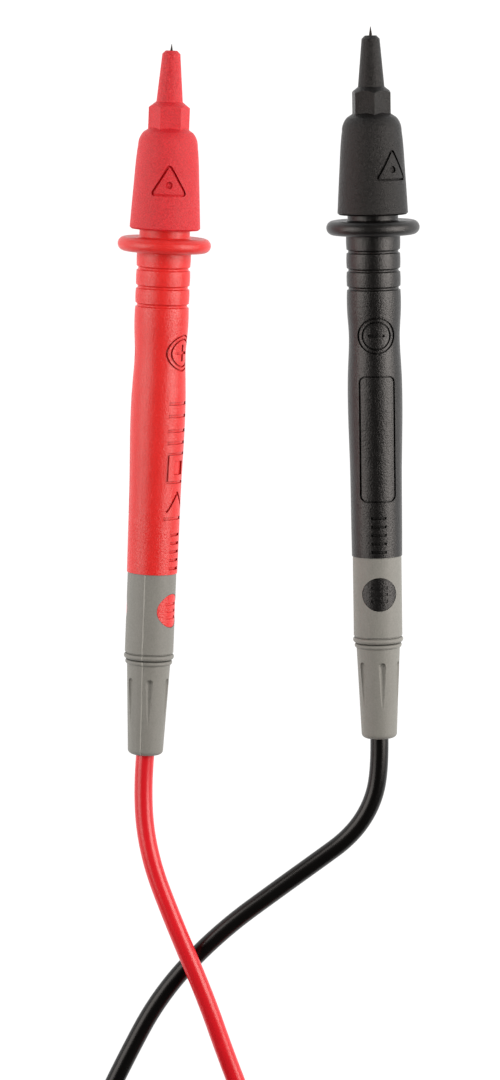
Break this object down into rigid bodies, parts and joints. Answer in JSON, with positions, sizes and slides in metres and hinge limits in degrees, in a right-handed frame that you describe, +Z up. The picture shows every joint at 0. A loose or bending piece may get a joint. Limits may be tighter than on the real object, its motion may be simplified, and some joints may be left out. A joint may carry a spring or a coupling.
{
  "type": "multimeter test leads",
  "caption": "Red and black test leads: needle probes with finger guards, push-on tip covers and grey strain reliefs, on thin cables that end in shrouded plugs.",
  "frame": {"origin": "middle of the two probes' footprint, on the surface that they lie on", "axes": "+Y from the cables towards the needle points, +Z up from the surface, +X from the red probe towards the black one"},
  "size_m": [0.081, 0.3257, 0.0222],
  "materials": {
    "red_grip": "satin moulded plastic",
    "black_grip": "satin moulded plastic",
    "red_cover": "fine spark-eroded matte",
    "black_cover": "fine spark-eroded matte",
    "grey_rubber": "soft matte thermoplastic rubber",
    "red_jacket": "smooth soft PVC",
    "black_jacket": "smooth soft PVC",
    "needle_steel": "ground, dark",
    "nickel": "nickel plated brass",
    "brass": "drawn tube",
    "copper": "stranded copper",
    "shrink_tube": "shrunk polyolefin",
    "strap": "woven hook and loop strap"
  },
  "bodies": {
    "red_lead": {"red_contact_pin": "needle_steel", "red_barrel": "red_grip", "red_rear_sleeve": "grey_rubber", "red_strain_relief": "grey_rubber", "red_pin_crimp": "brass", "red_conductor": "copper", "red_heat_shrink": "shrink_tube", "red_cable_tail": "red_jacket", "red_cable": "red_jacket", "red_cable_hank": "red_jacket", "red_hank_tie": "strap", "red_cable_end": "red_jacket", "red_plug_strain_relief": "grey_rubber", "red_plug_grip": "red_grip", "red_plug_shroud": "red_grip", "red_plug_pin": "nickel", "red_plug_spring": "nickel", "red_plug_conductor": "copper", "red_plug_tail": "red_jacket"},
    "red_tip_cover": {"red_tip_cover": "red_cover"},
    "black_lead": {"black_contact_pin": "needle_steel", "black_barrel": "black_grip", "black_rear_sleeve": "grey_rubber", "black_strain_relief": "grey_rubber", "black_pin_crimp": "brass", "black_conductor": "copper", "black_heat_shrink": "shrink_tube", "black_cable_tail": "black_jacket", "black_cable": "black_jacket", "black_cable_hank": "black_jacket", "black_hank_tie": "strap", "black_cable_end": "black_jacket", "black_plug_strain_relief": "grey_rubber", "black_plug_grip": "black_grip", "black_plug_shroud": "black_grip", "black_plug_pin": "nickel", "black_plug_spring": "nickel", "black_plug_conductor": "copper", "black_plug_tail": "black_jacket"},
    "black_tip_cover": {"black_tip_cover": "black_cover"}
  },
  "joints": [
    {"name": "red_tip_cover_pull", "type": "slide", "parent": "red_lead", "child": "red_tip_cover", "axis": [0.0401, 0.9979, 0.0512], "range_m": [0, 0.05]},
    {"name": "black_tip_cover_pull", "type": "slide", "parent": "black_lead", "child": "black_tip_cover", "axis": [-0.0166, 0.9986, 0.0512], "range_m": [0, 0.05]},
    {"name": "red_lead_lift", "type": "slide", "parent": "black_lead", "child": "red_lead", "axis": [0, 0, 1], "range_m": [0, 0.1]}
  ]
}
